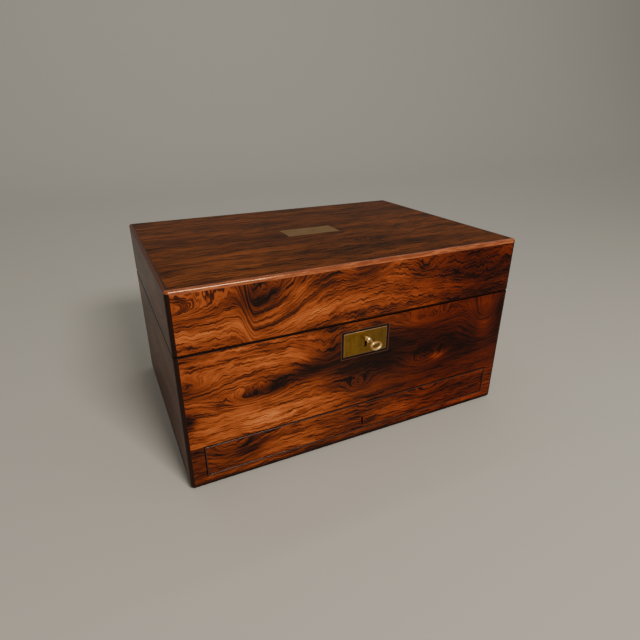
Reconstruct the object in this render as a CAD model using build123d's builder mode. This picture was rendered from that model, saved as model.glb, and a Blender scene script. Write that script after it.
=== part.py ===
from build123d import *
import math
import os

# A fitted dressing box: a veneered case with a hinged lid, a locked jewellery drawer
# in the base, glass jars in cells, and a lift-out tray. Millimetres, +Z up.
# The origin is at the centre of the underside, and the front faces -Y.

# Overall sizes
box_width = 305.0
box_depth = 216.0
box_height = 166.0
lid_joint_height = 117.85  # middle of the joint between the case and the lid
joint_gap = 0.5
fit = 0.3  # clearance between pieces that move past each other
glue_gap = 0.1  # between loose strips that stand side by side

# Boards of the case and lid
wall = 10.0
top_board = 8.0
bottom_board = 9.2
baize_thickness = 1.0
baize_margin = 0.6  # from the rounded edge of the underside
corner_round = 3.0
base_round = 2.8
top_round = 1.8
rim_round = 1.2
string_width = 3.2  # dark stringing let into the outer edges
baize_corner = 2.0
housing = 2.0  # depth of the grooves that hold the well floor

# Drawer opening and drawer
stile_width = 13.1
drawer_opening_height = 28.5
drawer_clearance = 0.5
drawer_lift = 0.3  # above the bottom board
drawer_side = 5.0
drawer_bottom_thickness = 3.0
drawer_bottom_lift = 2.0
groove_depth = 2.5
drawer_lap = 3.0
bead_width = 1.3
bead_proud = 0.8
bead_round_share = 0.42
drawer_side_drop = 1.7
tail_width = 7.0
tail_slope = 1 / 7
tail_count = 2
back_tail_share = 0.75  # of the width of the front tails
guide_height = 9.0

# Floor of the well
well_floor_thickness = 5.0

# Lock plate, lock and key
plate_width = 41.2
plate_height = 21.2
plate_thickness = 1.5
plate_bevel = 0.4
plate_centre_drop = 20.55  # below the middle of the lid joint
border_width = 2.2
key_axis_drop = 16.85
keyhole_radius = 1.9
keyhole_slot = 2.0
keyhole_length = 8.0
keyhole_relief = 0.5  # more room in the wood behind the plate
lock_width = 42.0
lock_height = 26.0
lock_thickness = 7.5
lock_wall = 1.0
selvedge_width = 54.0
selvedge_thickness = 1.5
selvedge_lip = 0.5  # in front of the case of the lock
loop_spacing = 18.0
loop_width = 4.4
loop_thickness = 2.0
loop_length = 9.5
loop_wire = 1.1
loop_eye = 3.4
loop_slot_play_x = 1.4
loop_slot_play_y = 1.1
bolt_thickness = 1.4
bolt_bar_height = 3.2
bolt_finger = 3.2
bolt_left_share = 0.42  # of the width of the lock
bolt_right_share = 0.38
bolt_guide_share = 0.36
bolt_guide_radius = 1.2
bolt_loop_gap = 0.5
finger_height = 2.0
finger_root = 2.6
finger_lift = 0.6  # above the lower bar of a loop
talon_left = -8.6
talon_right = -0.9
talon_depth = 1.7
key_rest_angle = 64.0  # clockwise from the slot, seen from the front
key_radius = 1.5
key_play = 0.4  # before and behind the bit, inside the lock
bow_radius = 4.0
bow_wire = 1.0
bow_reach = 15.6  # from the front face to the middle of the bow
bit_radius = 5.2
bit_thickness = 1.6
bit_width = 3.0
# collars of the shank: distance in front of the face, and share of the shank's radius
shank_turning = [(6.2, 0.9), (5.6, 1.4), (4.6, 1.5), (4.0, 1.0), (3.0, 1.0), (2.4, 1.3), (1.6, 1.0)]

# Hinges
hinge_length = 50.0
hinge_spacing = 170.0
hinge_axis_inset = 3.0
hinge_stop_angle = 95.0
knuckle_radius = 2.2
knuckle_count = 5
knuckle_gap = 0.15
pin_radius = 1.0
pin_clearance = 0.05
leaf_thickness = 1.2
leaf_width = 9.0
screw_head_radius = 1.7
screw_radius = 0.9
screw_length = 6.0
screw_edge = 0.2  # upright edge of the head, above its cone
screw_point = 1.0
screw_share = 0.36  # spacing of the screws, of the length of a hinge

# Top plate
name_plate_width = 52.0
name_plate_depth = 24.0
name_plate_thickness = 1.2

# Velvet, cells and jars
velvet = 1.0
partition = 2.5
cell = 46.0
partition_drop = 6.0  # below the rim of the case
front_cell = 46.0
jar_clearance = 1.0
jar_drop = 2.9  # glass below the top of the partitions
jar_wall = 4.0
jar_neck_height = 5.0
jar_corner = 3.0
jar_lid_height = 12.0
jar_lid_wall = 1.0
# turned edge of a plated lid: distance in from its side, distance down from its top
jar_lid_turning = [(0.0, 2.0), (0.7, 0.9), (2.4, 0.5)]
box_lid_round = 1.5
lining_rise = 2.0  # velvet above the partitions
lock_play = 1.0  # of the velvet round the lock

# Lift-out tray
tray_clearance = 0.5
tray_height = 24.0
tray_wall = 3.5
tray_base = 2.5
tray_partition = 2.0
tray_drop = 1.0  # top of the tray below the rim of the case
tray_front_bay = 0.36
tray_pad = 2.5
tray_pad_round = 0.7  # share of the pad's thickness
tray_corner = 1.5
tray_groove = 1.5
tray_strip_drop = 3.0
ledge = 3.0
ledge_height = 6.0
knob_radius = 2.6
knob_neck = 1.2
knob_height = 7.0
knob_foot_height = 0.7
knob_cove = 0.5
knob_share = 0.62  # of the way to the tray's side

# Mirror in the lid
mirror_margin = 18.0  # from the frame to the boards of the lid
mirror_corner = 4.0
mirror_edge_share = 0.3
mirror_frame_width = 13.0
mirror_frame_thickness = 6.5
mirror_glass = 2.5
mirror_rebate = 3.0

# Inside of the drawer
ring_pitch = 14.0
ring_slit = 0.8
ring_height = 15.0
ring_bay = 88.0
ring_base = 2.5
bay_wall = 2.0
bay_wall_drop = 4.0
drawer_lining_drop = 1.0

# Drawer lock
drawer_lock_width = 28.0
drawer_lock_height = 22.2
drawer_lock_thickness = 5.0
drawer_selvedge_width = 38.0
drawer_selvedge_thickness = 1.2
drawer_bolt_width = 8.0
drawer_bolt_throw = 2.3
drawer_bolt_inset = 1.3  # from the front and back of the lock
drawer_bolt_body = 5.0
drawer_bolt_foot = 8.0
drawer_lock_wall = 1.0
pocket_play = 0.8
drawer_key_drop = 15.3  # from the top of the drawer to the top of its keyhole
drawer_key_length = 7.9
drawer_key_width = 1.8

# Levels and faces worked out from the sizes above
rim_z = lid_joint_height - joint_gap / 2
lid_z = lid_joint_height + joint_gap / 2
floor_z = baize_thickness
baize_inset = base_round + baize_margin
opening_z = floor_z + bottom_board
opening_top = opening_z + drawer_opening_height
well_z = opening_top + well_floor_thickness
lid_under = box_height - top_board
half_w = box_width / 2
half_d = box_depth / 2
inner_w = half_w - wall
inner_d = half_d - wall
opening_x = half_w - stile_width

drawer_x = opening_x - drawer_clearance
drawer_z0 = opening_z + drawer_lift
drawer_z1 = opening_top - drawer_clearance
drawer_front_y = -half_d
drawer_inner_y = -half_d + wall
drawer_end_y = inner_d - drawer_clearance
drawer_side_top = drawer_z1 - drawer_side_drop
drawer_back_y = drawer_end_y - drawer_side
panel_z0 = drawer_z0 + drawer_bottom_lift
panel_z1 = panel_z0 + drawer_bottom_thickness
drawer_key_top = drawer_z1 - drawer_key_drop
drawer_key_bottom = drawer_key_top - drawer_key_length

key_z = lid_joint_height - key_axis_drop
plate_z = lid_joint_height - plate_centre_drop
lock_front = -inner_d - lock_thickness
lock_mid = -inner_d - lock_thickness / 2
selvedge_y = lock_front - selvedge_lip
lock_z0 = rim_z - lock_height
loop_bottom = lid_z - loop_length
bolt_top = loop_bottom - bolt_loop_gap
bolt_bottom = bolt_top - bolt_bar_height

hinge_y = half_d - hinge_axis_inset
hinge_z = lid_joint_height

well_x = inner_w - velvet
well_y = inner_d - velvet
back_wall_y = well_y - cell - partition
side_wall_x = well_x - cell - partition
jar_side = cell - jar_clearance
jar_z0 = well_z + velvet
partition_top = rim_z - partition_drop
jar_z1 = partition_top - jar_drop
front_wall_y = -well_y + front_cell

tray_x = side_wall_x - tray_clearance
tray_y0 = -well_y + tray_clearance
tray_y1 = back_wall_y - tray_clearance
tray_z1 = rim_z - tray_drop
tray_z0 = tray_z1 - tray_height

os.makedirs("parts", exist_ok=True)


def finish(piece, name):
    piece.part.label = name
    export_step(piece.part, f"parts/{name}.step")


def block(x0, x1, y0, y1, z0, z1, mode=Mode.ADD):
    with Locations(((x0 + x1) / 2, (y0 + y1) / 2, (z0 + z1) / 2)):
        Box(x1 - x0, y1 - y0, z1 - z0, mode=mode)


# --- Outer form of the case and of the lid, before they are parted into boards
def case_form():
    with BuildSketch(Plane.XY.offset(floor_z)) as outline:
        RectangleRounded(box_width, box_depth, corner_round)
    extrude(outline.sketch, amount=rim_z - floor_z)
    fillet(faces().sort_by(Axis.Z)[-1].edges(), rim_round)
    fillet(faces().sort_by(Axis.Z)[0].edges(), base_round)


def lid_form():
    with BuildSketch(Plane.XY.offset(lid_z)) as outline:
        RectangleRounded(box_width, box_depth, corner_round)
    extrude(outline.sketch, amount=box_height - lid_z)
    fillet(faces().sort_by(Axis.Z)[-1].edges(), top_round)
    fillet(faces().sort_by(Axis.Z)[0].edges(), rim_round)


def hinge_bevel():
    # The back edges are planed away behind the hinge, and these bevels stop the lid.
    reach = hinge_axis_inset + 1
    rise = reach * math.tan(math.radians(hinge_stop_angle / 2))
    with BuildSketch(Plane.YZ.offset(-half_w - 1)) as outline:
        with BuildLine():
            Polyline(
                (hinge_y, hinge_z),
                (hinge_y, rim_z),
                (hinge_y + reach, rim_z - rise),
                (hinge_y + reach, lid_z + rise),
                (hinge_y, lid_z),
                (hinge_y, hinge_z),
            )
        make_face()
    extrude(outline.sketch, amount=box_width + 2, mode=Mode.SUBTRACT)


def corner_squares(z0, z1, mode):
    with BuildSketch(Plane.XY.offset(z0)) as outline:
        with GridLocations(box_width - string_width, box_depth - string_width, 2, 2):
            Rectangle(string_width, string_width)
    extrude(outline.sketch, amount=z1 - z0, mode=mode)


def wall_wedge(side, z0, z1):
    # Keeps the part of a form that one mitred wall takes up.
    outer_x, outer_y = half_w + 1, half_d + 1
    mitre_x, mitre_y = outer_x - wall - 1, outer_y - wall - 1
    outlines = {
        "front": [(-outer_x, -outer_y), (outer_x, -outer_y), (mitre_x, -mitre_y), (-mitre_x, -mitre_y)],
        "back": [(-outer_x, outer_y), (outer_x, outer_y), (mitre_x, mitre_y), (-mitre_x, mitre_y)],
        "left": [(-outer_x, -outer_y), (-outer_x, outer_y), (-mitre_x, mitre_y), (-mitre_x, -mitre_y)],
        "right": [(outer_x, -outer_y), (outer_x, outer_y), (mitre_x, mitre_y), (mitre_x, -mitre_y)],
    }
    with BuildSketch(Plane.XY.offset(z0)) as outline:
        with BuildLine():
            Polyline(*outlines[side], close=True)
        make_face()
    extrude(outline.sketch, amount=z1 - z0, mode=Mode.INTERSECT)


# --- Hinge cuts shared by the back boards
hinge_centres = [(-hinge_spacing / 2, hinge_y), (hinge_spacing / 2, hinge_y)]
leaf_y0 = hinge_y - leaf_width + knuckle_radius
screw_y = (max(leaf_y0, inner_d) + hinge_y - knuckle_radius) / 2
screw_spacing = hinge_length * screw_share


def hinge_recess(leaf_z0, leaf_z1):
    for centre_x, centre_y in hinge_centres:
        block(centre_x - hinge_length / 2, centre_x + hinge_length / 2,
              leaf_y0, centre_y, leaf_z0, leaf_z1, Mode.SUBTRACT)
        with BuildSketch(Plane.YZ.offset(centre_x - hinge_length / 2)) as outline:
            with Locations((centre_y, hinge_z)):
                Circle(knuckle_radius + fit)
        extrude(outline.sketch, amount=hinge_length, mode=Mode.SUBTRACT)


def screw_points(z):
    return [(x + k * screw_spacing, screw_y, z) for x, _ in hinge_centres for k in (-1, 0, 1)]


def screw_bodies(points, upward, radius=screw_radius, head=screw_head_radius,
                 length=screw_length, sink=leaf_thickness, mode=Mode.ADD):
    # Countersunk screws: a cone head as deep as the plate, and a plain shank.
    way = 1 if upward else -1
    for x, y, z in points:
        with BuildSketch(Plane.XZ.offset(-y)) as outline:
            with BuildLine():
                Polyline(
                    (x, z), (x + head, z), (x + head, z + way * screw_edge),
                    (x + radius, z + way * sink), (x + radius, z + way * (length - screw_point)),
                    (x, z + way * length), close=True,
                )
            make_face()
        revolve(outline.sketch, axis=Axis((x, y, 0), (0, 0, 1)), mode=mode)


def keyhole(y0, y1, x, z, radius, slot, length):
    with BuildSketch(Plane.XZ.offset(-y0)) as outline:
        with Locations((x, z)):
            Circle(radius)
        with Locations((x, z - length / 2)):
            Rectangle(slot, length)
    extrude(outline.sketch, amount=-(y1 - y0), mode=Mode.SUBTRACT)


# --- Case
def well_floor_block(mode):
    block(-inner_w - housing, inner_w + housing, -inner_d, inner_d + housing,
          opening_top, well_z, mode)


with BuildPart() as case_front:
    case_form()
    wall_wedge("front", opening_top, rim_z)
    corner_squares(floor_z, rim_z, Mode.SUBTRACT)
    block(-plate_width / 2 - border_width, plate_width / 2 + border_width,
          -half_d - 1, -half_d + plate_thickness,
          plate_z - plate_height / 2 - border_width, plate_z + plate_height / 2 + border_width,
          Mode.SUBTRACT)
    block(-lock_width / 2, lock_width / 2, lock_front, -inner_d, lock_z0, rim_z, Mode.SUBTRACT)
    block(-selvedge_width / 2, selvedge_width / 2, selvedge_y, -inner_d,
          rim_z - selvedge_thickness, rim_z, Mode.SUBTRACT)
    keyhole(-half_d, lock_front, 0, key_z, keyhole_radius + keyhole_relief,
            keyhole_slot + keyhole_relief, keyhole_length)
    block(-drawer_bolt_width / 2 - pocket_play, drawer_bolt_width / 2 + pocket_play,
          -inner_d - drawer_lock_thickness + drawer_bolt_inset - fit, -inner_d - drawer_bolt_inset + fit,
          opening_top, opening_top + drawer_bolt_throw + pocket_play, Mode.SUBTRACT)
    lock_screw_x = (selvedge_width / 2 + lock_width / 2) / 2
    lock_screw_points = [(-lock_screw_x, lock_mid, rim_z), (lock_screw_x, lock_mid, rim_z)]
    screw_bodies(lock_screw_points, False, sink=selvedge_thickness, mode=Mode.SUBTRACT)
finish(case_front, "case_front")

with BuildPart() as drawer_stiles:
    case_form()
    wall_wedge("front", opening_z, opening_top)
    block(-opening_x, opening_x, -half_d - 1, half_d, 0, opening_top, Mode.SUBTRACT)
    corner_squares(floor_z, rim_z, Mode.SUBTRACT)
    for side in (-1, 1):
        edge = sorted((side * inner_w, side * opening_x))
        block(edge[0], edge[1], -inner_d - wall / 2, -inner_d, opening_z, opening_top)
finish(drawer_stiles, "drawer_stiles")


def side_wall(side):
    case_form()
    wall_wedge(side, opening_z, rim_z)
    corner_squares(floor_z, rim_z, Mode.SUBTRACT)
    well_floor_block(Mode.SUBTRACT)
    hinge_bevel()


with BuildPart() as case_left_side:
    side_wall("left")
finish(case_left_side, "case_left_side")

with BuildPart() as case_right_side:
    side_wall("right")
finish(case_right_side, "case_right_side")

with BuildPart() as case_back:
    side_wall("back")
    hinge_recess(rim_z - leaf_thickness, rim_z)
    screw_bodies(screw_points(rim_z), False, mode=Mode.SUBTRACT)
finish(case_back, "case_back")

with BuildPart() as case_bottom:
    case_form()
    block(-half_w, half_w, -half_d, half_d, floor_z, opening_z, Mode.INTERSECT)
    corner_squares(floor_z, rim_z, Mode.SUBTRACT)
finish(case_bottom, "case_bottom")

with BuildPart() as case_edge_strings:
    case_form()
    corner_squares(floor_z, rim_z, Mode.INTERSECT)
    hinge_bevel()
finish(case_edge_strings, "case_edge_strings")

with BuildPart() as well_floor:
    well_floor_block(Mode.ADD)
finish(well_floor, "well_floor")

with BuildPart() as drawer_guides:
    for side in (-1, 1):
        edge = sorted((side * inner_w, side * opening_x))
        block(edge[0], edge[1], -inner_d, inner_d, opening_z, opening_z + guide_height)
finish(drawer_guides, "drawer_guides")

with BuildPart() as base_baize:
    with BuildSketch():
        RectangleRounded(box_width - 2 * baize_inset, box_depth - 2 * baize_inset, baize_corner)
    extrude(amount=baize_thickness)
finish(base_baize, "base_baize")

# --- Lock plate and its dark border
with BuildPart() as lock_plate:
    block(-plate_width / 2, plate_width / 2, -half_d, -half_d + plate_thickness,
          plate_z - plate_height / 2, plate_z + plate_height / 2)
    chamfer(faces().sort_by(Axis.Y)[0].edges(), plate_bevel)
    keyhole(-half_d - 1, -half_d + plate_thickness, 0, key_z,
            keyhole_radius, keyhole_slot, keyhole_length)
finish(lock_plate, "lock_plate")

with BuildPart() as lock_plate_border:
    with BuildSketch(Plane.XZ.offset(half_d)):
        with Locations((0, plate_z)):
            Rectangle(plate_width + 2 * border_width, plate_height + 2 * border_width)
            Rectangle(plate_width, plate_height, mode=Mode.SUBTRACT)
    extrude(amount=-plate_thickness)
finish(lock_plate_border, "lock_plate_border")

# --- Box lock: a flat case with two slots for the loops of the link plate
cavity_y0 = lock_front + lock_wall
cavity_y1 = -inner_d - lock_wall
loop_slot_x = loop_thickness + loop_slot_play_x
loop_slot_y = loop_width + loop_slot_play_y
guide_x = lock_width * bolt_guide_share
guide_z = bolt_bottom - fit - bolt_guide_radius
with BuildPart() as lock_case:
    block(-lock_width / 2, lock_width / 2, lock_front, -inner_d, lock_z0, rim_z)
    block(-selvedge_width / 2, selvedge_width / 2, selvedge_y, -inner_d,
          rim_z - selvedge_thickness, rim_z)
    block(-lock_width / 2 + lock_wall, lock_width / 2 - lock_wall, cavity_y0, cavity_y1,
          lock_z0 + lock_wall, rim_z - selvedge_thickness, Mode.SUBTRACT)
    with BuildSketch(Plane.XZ.offset(-cavity_y0)):
        with Locations((-guide_x, guide_z), (guide_x, guide_z)):
            Circle(bolt_guide_radius)
    extrude(amount=-(cavity_y1 - cavity_y0))
    for side in (-1, 1):
        loop_x = side * loop_spacing / 2
        block(loop_x - loop_slot_x / 2, loop_x + loop_slot_x / 2,
              lock_mid - loop_slot_y / 2, lock_mid + loop_slot_y / 2,
              rim_z - selvedge_thickness, rim_z, Mode.SUBTRACT)
    keyhole(lock_front - 1, cavity_y0, 0, key_z, keyhole_radius, keyhole_slot, keyhole_length)
    screw_bodies(lock_screw_points, False, sink=selvedge_thickness, mode=Mode.SUBTRACT)
finish(lock_case, "lock_case")

with BuildPart() as lock_screws:
    screw_bodies(lock_screw_points, False, sink=selvedge_thickness)
finish(lock_screws, "lock_screws")

with BuildPart() as lock_bolt:
    bolt_y0 = lock_mid - bolt_thickness / 2
    bolt_y1 = lock_mid + bolt_thickness / 2
    finger_z0 = loop_bottom + loop_wire + finger_lift
    finger_z1 = finger_z0 + finger_height
    block(-lock_width * bolt_left_share, lock_width * bolt_right_share,
          bolt_y0, bolt_y1, bolt_bottom, bolt_top)
    for side in (-1, 1):
        tip_x = side * loop_spacing / 2 - loop_thickness / 2 - bolt_loop_gap
        root_x = tip_x - bolt_finger
        block(root_x - finger_root, root_x, bolt_y0, bolt_y1, bolt_bottom, finger_z1)
        block(root_x, tip_x, bolt_y0, bolt_y1, finger_z0, finger_z1)
    block(talon_left, talon_right, bolt_y0, bolt_y1, bolt_bottom, bolt_bottom + talon_depth,
          Mode.SUBTRACT)
finish(lock_bolt, "lock_bolt")

# --- Key, turned from its slot as it stands in the lock
bit_y0 = cavity_y0 + key_play
key_back = cavity_y1 - key_play
with BuildPart() as key:
    bow_y = -half_d - bow_reach
    with BuildSketch(Plane.YZ):
        with BuildLine():
            Polyline(
                (bow_y + bow_radius - bow_wire / 2, key_z),
                (bow_y + bow_radius - bow_wire / 2, key_z + key_radius * 0.8),
                *[(-half_d - reach, key_z + key_radius * share) for reach, share in shank_turning],
                (key_back - 0.5, key_z + key_radius),
                (key_back, key_z + key_radius * 0.7),
                (key_back, key_z),
                close=True,
            )
        make_face()
    revolve(axis=Axis((0, 0, key_z), (0, 1, 0)))
    turn = math.radians(key_rest_angle)
    bow_side = (-math.sin(turn), 0, -math.cos(turn))
    bow_normal = (math.cos(turn), 0, -math.sin(turn))
    with BuildSketch(Plane(origin=(0, bow_y, key_z), x_dir=bow_side, z_dir=(0, 1, 0))):
        with Locations((bow_radius, 0)):
            Circle(bow_wire)
    revolve(axis=Axis((0, bow_y, key_z), bow_normal))
    bit_plane = Plane(
        origin=(0, bit_y0, key_z),
        x_dir=(-math.sin(turn), 0, -math.cos(turn)),
        z_dir=(0, 1, 0),
    )
    with BuildSketch(bit_plane):
        with Locations((bit_radius / 2, 0)):
            Rectangle(bit_radius, bit_thickness)
    extrude(amount=bit_width)
finish(key, "key")

# --- Hinges: alternate knuckles on one pin
knuckle_length = hinge_length / knuckle_count


def hinge_leaf(odd, z0, z1):
    for centre_x, centre_y in hinge_centres:
        left = centre_x - hinge_length / 2
        block(left, left + hinge_length, leaf_y0, centre_y - knuckle_radius - fit, z0, z1)
        for index in range(knuckle_count):
            if index % 2 != odd:
                continue
            k0 = left + index * knuckle_length + (knuckle_gap if index else 0)
            k1 = left + (index + 1) * knuckle_length
            k1 = k1 - (knuckle_gap if index < knuckle_count - 1 else 0)
            with BuildSketch(Plane.YZ.offset(k0)) as outline:
                with Locations((centre_y, hinge_z)):
                    Circle(knuckle_radius)
            extrude(outline.sketch, amount=k1 - k0)
            block(k0, k1, leaf_y0, centre_y, z0, z1)
        with BuildSketch(Plane.YZ.offset(left - 1)) as outline:
            with Locations((centre_y, hinge_z)):
                Circle(pin_radius + pin_clearance)
        extrude(outline.sketch, amount=hinge_length + 2, mode=Mode.SUBTRACT)


with BuildPart() as case_hinge_leaves:
    hinge_leaf(0, rim_z - leaf_thickness, rim_z)
    screw_bodies(screw_points(rim_z), False, mode=Mode.SUBTRACT)
finish(case_hinge_leaves, "case_hinge_leaves")

with BuildPart() as lid_hinge_leaves:
    hinge_leaf(1, lid_z, lid_z + leaf_thickness)
    screw_bodies(screw_points(lid_z), True, mode=Mode.SUBTRACT)
finish(lid_hinge_leaves, "lid_hinge_leaves")

with BuildPart() as hinge_pins:
    for centre_x, centre_y in hinge_centres:
        with BuildSketch(Plane.YZ.offset(centre_x - hinge_length / 2)):
            with Locations((centre_y, hinge_z)):
                Circle(pin_radius)
        extrude(amount=hinge_length)
finish(hinge_pins, "hinge_pins")

with BuildPart() as case_hinge_screws:
    screw_bodies(screw_points(rim_z), False)
finish(case_hinge_screws, "case_hinge_screws")

with BuildPart() as lid_hinge_screws:
    screw_bodies(screw_points(lid_z), True)
finish(lid_hinge_screws, "lid_hinge_screws")


# --- Lid
def top_edge_ring(mode):
    with BuildSketch(Plane.XY.offset(box_height - string_width)) as outline:
        Rectangle(box_width, box_depth)
        Rectangle(box_width - 2 * string_width, box_depth - 2 * string_width, mode=Mode.SUBTRACT)
    extrude(outline.sketch, amount=string_width, mode=mode)


def lid_wall(side):
    lid_form()
    wall_wedge(side, lid_z, lid_under)
    corner_squares(lid_z, box_height, Mode.SUBTRACT)
    hinge_bevel()


with BuildPart() as lid_front:
    lid_wall("front")
    block(-selvedge_width / 2, selvedge_width / 2, selvedge_y, -inner_d,
          lid_z, lid_z + selvedge_thickness, Mode.SUBTRACT)
    link_screw_points = [(x, y, lid_z) for x, y, _ in lock_screw_points]
    screw_bodies(link_screw_points, True, sink=selvedge_thickness, mode=Mode.SUBTRACT)
finish(lid_front, "lid_front")

with BuildPart() as lid_back:
    lid_wall("back")
    hinge_recess(lid_z, lid_z + leaf_thickness)
    screw_bodies(screw_points(lid_z), True, mode=Mode.SUBTRACT)
finish(lid_back, "lid_back")

with BuildPart() as lid_left_side:
    lid_wall("left")
finish(lid_left_side, "lid_left_side")

with BuildPart() as lid_right_side:
    lid_wall("right")
finish(lid_right_side, "lid_right_side")

with BuildPart() as lid_top:
    lid_form()
    block(-half_w, half_w, -half_d, half_d, lid_under, box_height, Mode.INTERSECT)
    top_edge_ring(Mode.SUBTRACT)
    corner_squares(lid_under - 1, box_height, Mode.SUBTRACT)
    block(-name_plate_width / 2, name_plate_width / 2, -name_plate_depth / 2, name_plate_depth / 2,
          box_height - name_plate_thickness, box_height + 1, Mode.SUBTRACT)
finish(lid_top, "lid_top")

with BuildPart() as lid_edge_strings:
    lid_form()
    string_z = box_height - string_width
    block(-half_w + string_width, half_w - string_width, -half_d, half_d, lid_z, string_z, Mode.SUBTRACT)
    block(-half_w, half_w, -half_d + string_width, half_d - string_width, lid_z, string_z, Mode.SUBTRACT)
    block(-half_w + string_width, half_w - string_width, -half_d + string_width,
          half_d - string_width, lid_z, box_height, Mode.SUBTRACT)
    hinge_bevel()
finish(lid_edge_strings, "lid_edge_strings")

with BuildPart() as name_plate:
    block(-name_plate_width / 2, name_plate_width / 2, -name_plate_depth / 2, name_plate_depth / 2,
          box_height - name_plate_thickness, box_height)
finish(name_plate, "name_plate")

with BuildPart() as link_plate:
    block(-selvedge_width / 2, selvedge_width / 2, selvedge_y, -inner_d,
          lid_z, lid_z + selvedge_thickness)
    for side in (-1, 1):
        loop_x = side * loop_spacing / 2
        with BuildSketch(Plane.YZ.offset(loop_x - loop_thickness / 2)):
            with Locations((lock_mid, lid_z - loop_length / 2)):
                Rectangle(loop_width, loop_length)
            with Locations((lock_mid, loop_bottom + loop_wire + loop_eye / 2)):
                Rectangle(loop_width - 2 * loop_wire, loop_eye, mode=Mode.SUBTRACT)
        extrude(amount=loop_thickness)
    screw_bodies(link_screw_points, True, sink=selvedge_thickness, mode=Mode.SUBTRACT)
finish(link_plate, "link_plate")

with BuildPart() as link_plate_screws:
    screw_bodies(link_screw_points, True, sink=selvedge_thickness)
finish(link_plate_screws, "link_plate_screws")

# --- Velvet lining of the lid, and the mirror
with BuildPart() as lid_lining:
    block(-inner_w, inner_w, -inner_d, inner_d, lid_z + velvet, lid_under)
    block(-well_x, well_x, -well_y, well_y, lid_z, lid_under - velvet, Mode.SUBTRACT)
finish(lid_lining, "lid_lining")

mirror_z1 = lid_under - velvet
mirror_width = 2 * (inner_w - mirror_margin)
mirror_depth = 2 * (inner_d - mirror_margin)
mirror_z0 = mirror_z1 - mirror_frame_thickness
glass_x = mirror_width / 2 - mirror_frame_width + mirror_rebate
glass_y = mirror_depth / 2 - mirror_frame_width + mirror_rebate
with BuildPart() as mirror_frame:
    block(-mirror_width / 2, mirror_width / 2, -mirror_depth / 2, mirror_depth / 2,
          mirror_z0, mirror_z1)
    fillet(edges().filter_by(Axis.Z), mirror_corner)
    fillet(faces().sort_by(Axis.Z)[0].edges(), mirror_frame_thickness * mirror_edge_share)
    block(-glass_x + mirror_rebate, glass_x - mirror_rebate,
          -glass_y + mirror_rebate, glass_y - mirror_rebate, mirror_z0, mirror_z1, Mode.SUBTRACT)
    block(-glass_x, glass_x, -glass_y, glass_y, mirror_z1 - mirror_glass, mirror_z1, Mode.SUBTRACT)
finish(mirror_frame, "mirror_frame")

with BuildPart() as mirror_plate:
    block(-glass_x, glass_x, -glass_y, glass_y, mirror_z1 - mirror_glass, mirror_z1)
finish(mirror_plate, "mirror_plate")

# --- Well: velvet lining, partitions, jars
with BuildPart() as well_lining:
    block(-inner_w, inner_w, -inner_d, inner_d, well_z, partition_top + lining_rise)
    block(-well_x, well_x, -well_y, well_y, well_z + velvet, rim_z, Mode.SUBTRACT)
    block(-lock_width / 2 - lock_play, lock_width / 2 + lock_play, -inner_d, -well_y,
          lock_z0 - lock_play, rim_z, Mode.SUBTRACT)
finish(well_lining, "well_lining")

cell_step = cell + partition
with BuildPart() as well_partitions:
    for side in (-1, 1):
        x0, x1 = sorted((side * side_wall_x, side * (side_wall_x + partition)))
        block(x0, x1, -well_y, back_wall_y - glue_gap, jar_z0, partition_top)
        ledge_x = sorted((side * side_wall_x, side * (side_wall_x - ledge)))
        block(ledge_x[0], ledge_x[1], -well_y, back_wall_y - glue_gap, tray_z0 - ledge_height, tray_z0 - fit)
        x0, x1 = sorted((side * (side_wall_x + partition + glue_gap), side * well_x))
        block(x0, x1, front_wall_y, front_wall_y + partition, jar_z0, partition_top)
        for index in (1, 2):
            edge = sorted((side * (well_x - index * cell_step + partition),
                           side * (well_x - index * cell_step)))
            block(edge[0], edge[1], back_wall_y + partition + glue_gap, well_y, jar_z0, partition_top)
    block(-well_x, well_x, back_wall_y, back_wall_y + partition, jar_z0, partition_top)
finish(well_partitions, "well_partitions")

jar_y = well_y - cell / 2
jar_xs = [side * (well_x - cell / 2 - index * cell_step) for side in (-1, 1) for index in (0, 1)]
box_x = well_x - cell / 2
box_y0 = front_wall_y + partition
box_length = back_wall_y - box_y0 - jar_clearance
box_y = (box_y0 + back_wall_y) / 2
jar_height = jar_z1 - jar_z0
neck_z = jar_z1 - jar_neck_height
jar_bore = jar_side / 2 - jar_wall


def glass_jar(x, y):
    # A square jar of thick glass, bevelled round the shoulder, with a round mouth.
    with BuildSketch(Plane.XY.offset(jar_z0)) as outline:
        with Locations((x, y)):
            RectangleRounded(jar_side, jar_side, jar_corner)
    extrude(outline.sketch, amount=jar_height - jar_neck_height)
    with BuildSketch(Plane.XY.offset(neck_z)) as outline:
        with Locations((x, y)):
            Circle(jar_bore + jar_wall * 0.5)
    extrude(outline.sketch, amount=jar_neck_height)
    with BuildSketch(Plane.XY.offset(jar_z0 + jar_wall)) as outline:
        with Locations((x, y)):
            Circle(jar_bore)
    extrude(outline.sketch, amount=jar_height, mode=Mode.SUBTRACT)


def jar_lid(x, y):
    # A shallow plated cap, slightly domed, that slips over the neck.
    with BuildSketch(Plane.XZ.offset(-y)) as outline:
        with BuildLine():
            r_in = jar_bore + jar_wall * 0.5 + fit
            r_out = r_in + jar_lid_wall
            z0 = neck_z + fit
            z1 = z0 + jar_lid_height
            edge = [(x + r_out - inward, z1 - down) for inward, down in jar_lid_turning]
            Polyline((x, jar_z1 + fit), (x + r_in, jar_z1 + fit), (x + r_in, z0), (x + r_out, z0), edge[0])
            ThreePointArc(*edge)
            Line(edge[2], (x, z1))
            Line((x, z1), (x, jar_z1 + fit))
        make_face()
    revolve(outline.sketch, axis=Axis((x, y, 0), (0, 0, 1)))


with BuildPart() as glass_jars:
    for jar_x in jar_xs:
        glass_jar(jar_x, jar_y)
finish(glass_jars, "glass_jars")

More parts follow.
